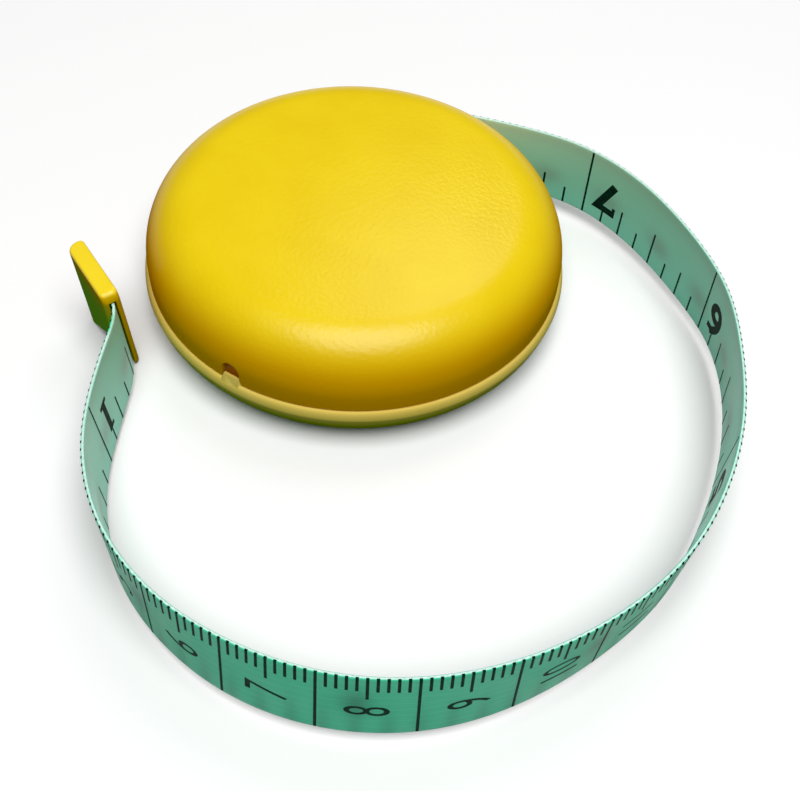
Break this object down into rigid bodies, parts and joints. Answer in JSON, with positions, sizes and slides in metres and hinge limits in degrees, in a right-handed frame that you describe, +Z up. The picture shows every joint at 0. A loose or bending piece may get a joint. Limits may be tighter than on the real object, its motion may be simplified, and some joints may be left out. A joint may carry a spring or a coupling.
{
  "type": "tape measure",
  "caption": "Round push-button pocket tape: a domed plastic case with reel, brake and springs inside, and a coated tape drawn out in a standing loop to its end tab.",
  "frame": {"origin": "centre of the case's base, on the surface that it stands on", "axes": "+Z up through the dome; the tape leaves the case on its +X +Y side and its loop lies toward -Y; +X is right in the picture"},
  "size_m": [0.0796, 0.0895, 0.0164],
  "materials": {
    "case_plastic": "fine pebble grain, yellow",
    "reel_plastic": "plain moulded",
    "coated_tape": "smooth coated, printed in dark green",
    "steel": "plain",
    "rubber": "matt"
  },
  "bodies": {
    "case": {"upper_shell": "case_plastic", "lower_shell": "case_plastic", "spring_arbor": "steel", "brake_ring": "rubber", "return_spring": "steel", "free_tape": "coated_tape", "end_tab": "case_plastic"},
    "button": {"push_button": "case_plastic", "thrust_washer": "reel_plastic", "coil_washer": "steel"},
    "reel": {"reel_drum": "reel_plastic", "reel_cover": "reel_plastic", "wound_tape": "coated_tape", "tape_anchor": "steel", "mainspring": "steel"}
  },
  "joints": [
    {"name": "button_press", "type": "slide", "parent": "case", "child": "button", "axis": [0, 0, 1], "range_m": [0, 0.0006], "stiffness_N_per_m": 3000, "springref_m": -0.0006, "deforming": ["return_spring"]},
    {"name": "reel_spin", "type": "hinge", "parent": "button", "child": "reel", "pos_m": [0, 0, 0.0074], "axis": [0, 0, 1], "range_deg": [-4210, 530], "deforming": ["mainspring"]}
  ]
}
